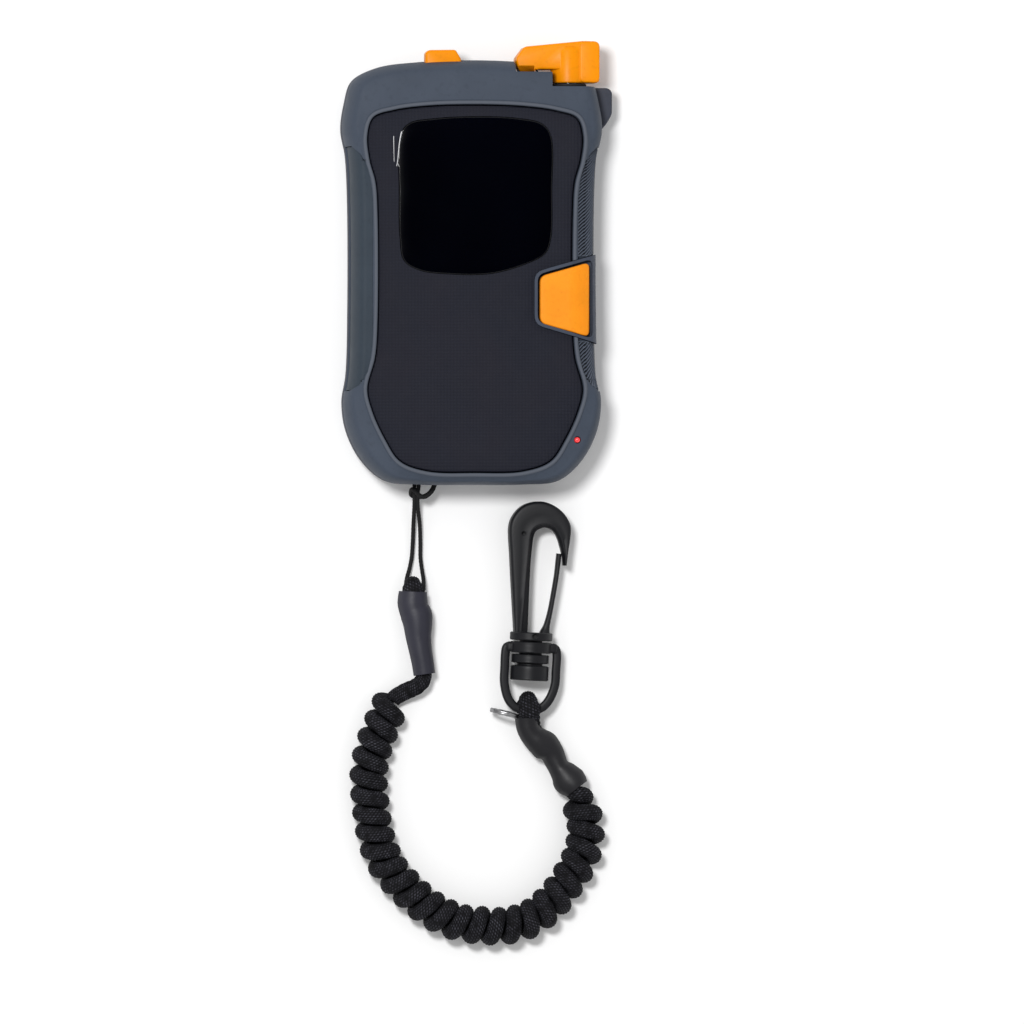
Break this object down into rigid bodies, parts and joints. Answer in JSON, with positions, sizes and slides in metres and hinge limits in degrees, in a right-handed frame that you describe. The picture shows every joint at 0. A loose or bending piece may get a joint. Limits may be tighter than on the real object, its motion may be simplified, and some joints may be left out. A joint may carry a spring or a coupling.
{
  "type": "avalanche transceiver",
  "caption": "Pocket avalanche transceiver with a screen, a rotating mode lever, push buttons, a battery door and a coiled leash that ends in a swivel snap hook.",
  "frame": {"origin": "middle of the flat back, on the battery door, in the plane of the case's back face", "axes": "+Z out of the screen, +Y along the case towards the mode lever, +X to the right seen from the screen side"},
  "size_m": [0.0734, 0.2441, 0.0243],
  "materials": {
    "frame": "matt grey rubber overmould",
    "shell": "fine spark-eroded texture",
    "face": "fine diamond texture",
    "window": "gloss black window",
    "film": "thin film with bright edges",
    "seal": "soft black rubber",
    "grip": "matt grey rubber with fine ribs",
    "steel": "brushed",
    "dark_plastic": "matt black",
    "board": "green solder mask",
    "ferrite": "wound ferrite rod",
    "winding": "enamelled copper winding",
    "led": "clear red lens",
    "lever": "satin orange",
    "button": "satin orange",
    "cell": "plain printed sleeve",
    "thin_cord": "braided black cord",
    "cord": "ribbed braid over an elastic core",
    "grey_sleeve": "shrunk tubing, satin",
    "black_sleeve": "shrunk tubing, satin",
    "hook": "moulded black plastic, satin"
  },
  "bodies": {
    "case": {"rear_cover": "shell", "grip_frame": "frame", "front_cover": "face", "display_window": "window", "window_film_tab": "film", "case_seal": "seal", "side_grip_left": "grip", "side_grip_right_upper": "grip", "side_grip_right_lower": "grip", "leash_pin": "steel", "door_seal": "seal", "main_board": "board", "display_module": "dark_plastic", "antenna_long": "ferrite", "antenna_cross": "ferrite", "antenna_upright": "winding", "speaker": "dark_plastic", "rotary_switch": "dark_plastic", "option_switch": "dark_plastic", "side_button_switch": "dark_plastic", "status_led": "led", "lever_seal": "seal", "side_button_frame": "frame", "lanyard_loop": "thin_cord", "leash_sleeve": "grey_sleeve", "coil_lead": "cord", "coil_cord": "cord", "end_sleeve": "black_sleeve", "end_loop": "cord", "split_ring": "steel", "case_screw_1": "steel", "case_screw_2": "steel", "case_screw_3": "steel", "case_screw_4": "steel", "case_screw_5": "steel", "battery_1": "cell", "battery_2": "cell", "battery_3": "cell", "contact_spring_1": "steel", "contact_spring_2": "steel", "contact_spring_3": "steel", "contact_plate_1": "steel", "contact_plate_2": "steel", "contact_plate_3": "steel"},
    "door": {"battery_door": "shell"},
    "latch": {"door_latch": "dark_plastic"},
    "lever": {"switch_lever": "lever", "lever_shaft": "steel"},
    "option_button": {"option_button": "lever"},
    "side_button": {"side_button": "button"},
    "yoke": {"swivel_yoke": "hook"},
    "hook": {"swivel_cap": "hook", "snap_hook": "hook"},
    "gate": {"hook_gate": "hook"}
  },
  "joints": [
    {"name": "battery_door_swing", "type": "hinge", "parent": "case", "child": "door", "pos_m": [0, -0.0497, 0.00095], "axis": [-1, 0, 0], "range_deg": [0, 110]},
    {"name": "door_latch_turn", "type": "hinge", "parent": "door", "child": "latch", "pos_m": [0, 0.01, 0], "axis": [0, 0, 1], "range_deg": [0, 90]},
    {"name": "mode_lever_turn", "type": "hinge", "parent": "case", "child": "lever", "pos_m": [0.0261, 0.056, 0.014], "axis": [0, 1, 0], "range_deg": [0, 90]},
    {"name": "option_button_press", "type": "slide", "parent": "case", "child": "option_button", "axis": [0, -1, 0], "range_m": [0, 0.0012], "stiffness_N_per_m": 900, "springref_m": -0.0008},
    {"name": "side_button_press", "type": "slide", "parent": "case", "child": "side_button", "axis": [0, 0, -1], "range_m": [0, 0.0008], "stiffness_N_per_m": 1200, "springref_m": -0.0008},
    {"name": "yoke_tilt", "type": "hinge", "parent": "case", "child": "yoke", "pos_m": [0.016, -0.1181, 0.0059], "axis": [0.9988, -0.0497, 0], "range_deg": [0, 60]},
    {"name": "hook_swivel", "type": "hinge", "parent": "yoke", "child": "hook", "pos_m": [0.01665, -0.10111, 0.0059], "axis": [0.0497, 0.9988, 0], "continuous": true},
    {"name": "gate_open", "type": "hinge", "parent": "hook", "child": "gate", "pos_m": [0.02067, -0.09671, 0.0059], "axis": [0, 0, 1], "range_deg": [0, 14], "stiffness_Nm_per_rad": 0.05, "springref_deg": -2.86}
  ]
}
